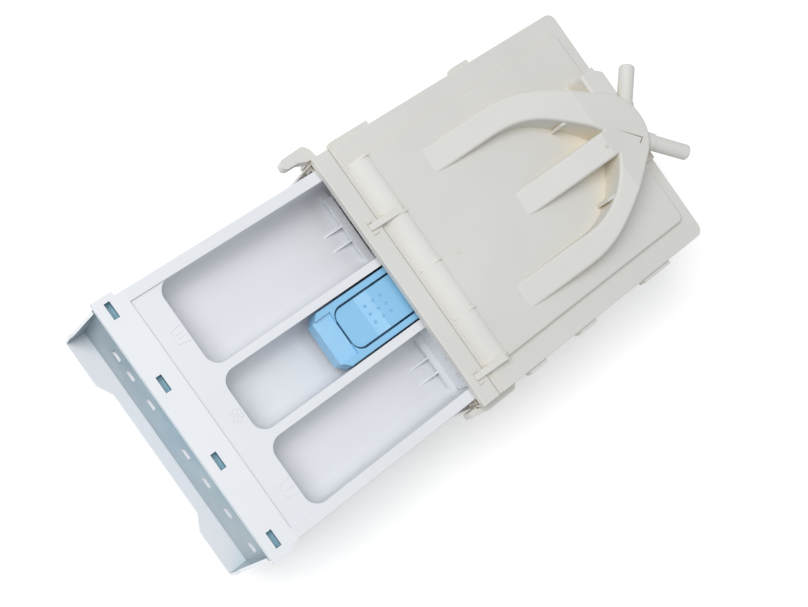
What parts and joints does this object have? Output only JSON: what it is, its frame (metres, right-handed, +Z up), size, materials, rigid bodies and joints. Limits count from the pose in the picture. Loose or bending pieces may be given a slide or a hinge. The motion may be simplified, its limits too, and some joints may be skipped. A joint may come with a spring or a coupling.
{
  "type": "washing machine detergent dispenser",
  "caption": "Detergent drawer with wash, softener and prewash wells, pulled out of its cream water housing with forked water channels and hose nipples.",
  "frame": {"origin": "centre of the outlet spigot's lower end", "axes": "+Z up, +Y towards the rear of the machine, +X to the right seen from the front; the drawer pulls out towards -Y"},
  "size_m": [0.2204, 0.4504, 0.1369],
  "materials": {
    "drawer_white": "satin moulded polypropylene",
    "housing_cream": "matte moulded polypropylene",
    "insert_blue": "smooth moulded plastic",
    "seal_rubber": "matte"
  },
  "bodies": {
    "housing": {"housing_box": "housing_cream", "outlet_spigot": "housing_cream", "guide_rail_left": "housing_cream", "guide_rail_right": "housing_cream", "mouth_bar": "housing_cream", "hook_bracket_left": "housing_cream", "hook_bracket_right": "housing_cream", "side_clips_left": "housing_cream", "side_clips_right": "housing_cream", "housing_cover": "housing_cream", "shower_plate": "housing_cream", "cover_seal": "seal_rubber", "water_channels": "housing_cream", "inlet_nipple_left": "housing_cream", "inlet_nipple_right": "housing_cream"},
    "drawer": {"drawer_tray": "drawer_white", "drawer_front_frame": "drawer_white", "prewash_gate": "drawer_white", "siphon_cap": "insert_blue"},
    "release_tab": {"release_tab": "insert_blue"}
  },
  "joints": [
    {"name": "drawer_slide", "type": "slide", "parent": "housing", "child": "drawer", "axis": [0, 1, 0], "range_m": [0, 0.16]},
    {"name": "release_tab_press", "type": "hinge", "parent": "drawer", "child": "release_tab", "pos_m": [0.0063, -0.1381, 0.1011], "axis": [1, 0, 0], "range_deg": [0, 6], "stiffness_Nm_per_rad": 1}
  ]
}
